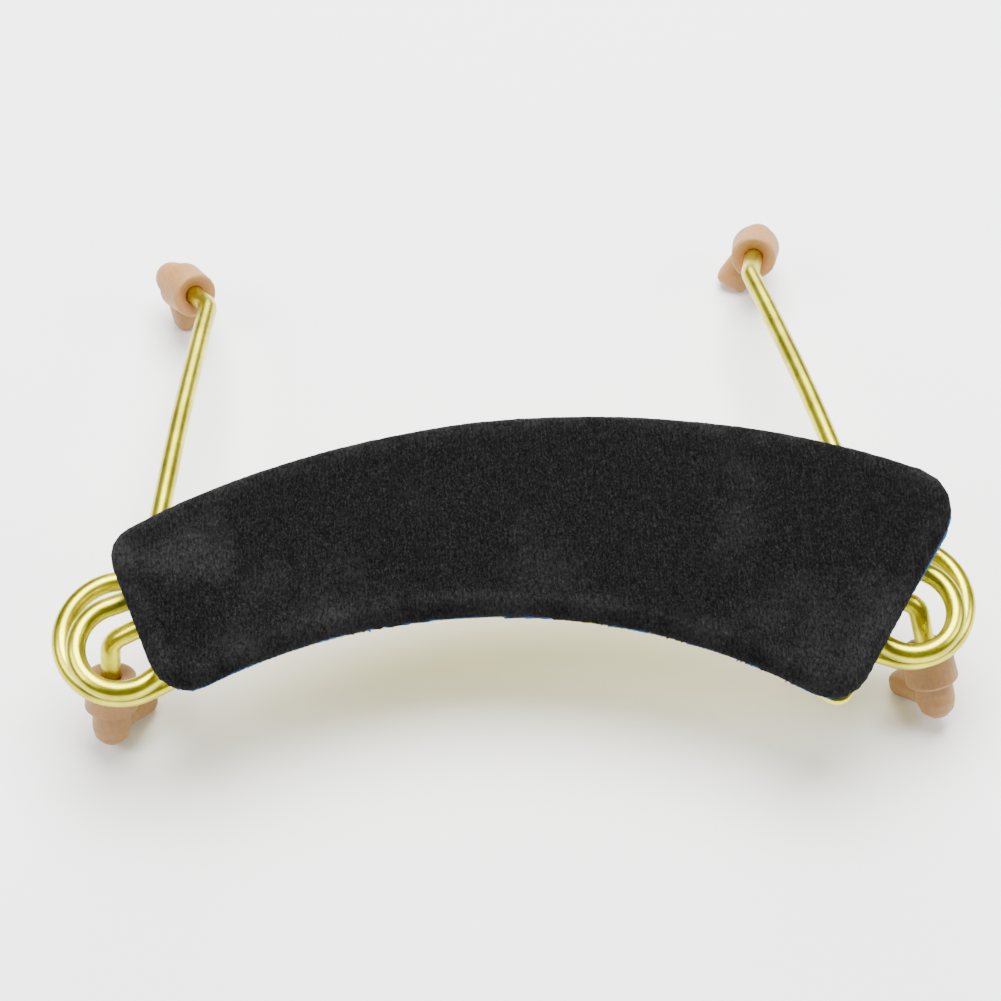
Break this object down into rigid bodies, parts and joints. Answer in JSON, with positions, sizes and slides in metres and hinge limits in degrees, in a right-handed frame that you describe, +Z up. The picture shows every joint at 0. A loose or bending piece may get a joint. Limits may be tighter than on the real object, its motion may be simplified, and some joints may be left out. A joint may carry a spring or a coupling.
{
  "type": "violin shoulder rest",
  "caption": "Curved velvet-covered shoulder pad on a metal plate, carried by two coiled wire legs with turning rubber feet that hold a violin's back.",
  "frame": {"origin": "on the surface the four toes stand on, under the middle of the object's box", "axes": "+Z up out of the velvet's top, +X along the pad's length to its wider end, +Y towards the two long legs' feet"},
  "size_m": [0.2186, 0.1708, 0.0527],
  "materials": {
    "gold_wire": "satin greenish-gold anodised wire",
    "gold_plate": "satin gold anodised sheet",
    "foot_rubber": "matt tan moulded rubber",
    "foam": "fine-cell blue foam sheet",
    "velvet": "charcoal-black ribbed velvet"
  },
  "bodies": {
    "pad": {"base_plate": "gold_plate", "foam_pad": "foam", "velvet_cover": "velvet", "left_hinge_leaf": "gold_plate", "left_rivet_1": "gold_plate", "left_rivet_2": "gold_plate", "left_rivet_3": "gold_plate", "right_hinge_leaf": "gold_plate", "right_rivet_1": "gold_plate", "right_rivet_2": "gold_plate", "right_rivet_3": "gold_plate"},
    "left_leg": {"left_spring_leg": "gold_wire"},
    "right_leg": {"right_spring_leg": "gold_wire"},
    "left_back_foot": {"left_back_foot": "foot_rubber"},
    "left_front_foot": {"left_front_foot": "foot_rubber"},
    "right_back_foot": {"right_back_foot": "foot_rubber"},
    "right_front_foot": {"right_front_foot": "foot_rubber"}
  },
  "joints": [
    {"name": "left_leg_flex", "type": "hinge", "parent": "pad", "child": "left_leg", "pos_m": [-0.06656, -0.04773, 0.03495], "axis": [0, 0.9824, 0.1867], "range_deg": [-4, 6], "stiffness_Nm_per_rad": 2.5},
    {"name": "right_leg_flex", "type": "hinge", "parent": "pad", "child": "right_leg", "pos_m": [0.06661, -0.05063, 0.03446], "axis": [0, -0.9824, -0.1867], "range_deg": [-4, 6], "stiffness_Nm_per_rad": 2.5},
    {"name": "left_back_foot_swivel", "type": "hinge", "parent": "left_leg", "child": "left_back_foot", "pos_m": [-0.0755, 0.06514, 0.01885], "axis": [-0.4493, 0.8088, -0.3794], "continuous": true},
    {"name": "left_front_foot_swivel", "type": "hinge", "parent": "left_leg", "child": "left_front_foot", "pos_m": [-0.0965, -0.05466, 0.01944], "axis": [-0.0803, -0.4215, -0.9033], "continuous": true},
    {"name": "right_back_foot_swivel", "type": "hinge", "parent": "right_leg", "child": "right_back_foot", "pos_m": [0.0733, 0.06814, 0.01818], "axis": [0.2191, 0.8666, -0.4483], "continuous": true},
    {"name": "right_front_foot_swivel", "type": "hinge", "parent": "right_leg", "child": "right_front_foot", "pos_m": [0.0974, -0.06176, 0.02039], "axis": [0.1904, -0.5212, -0.8319], "continuous": true}
  ]
}
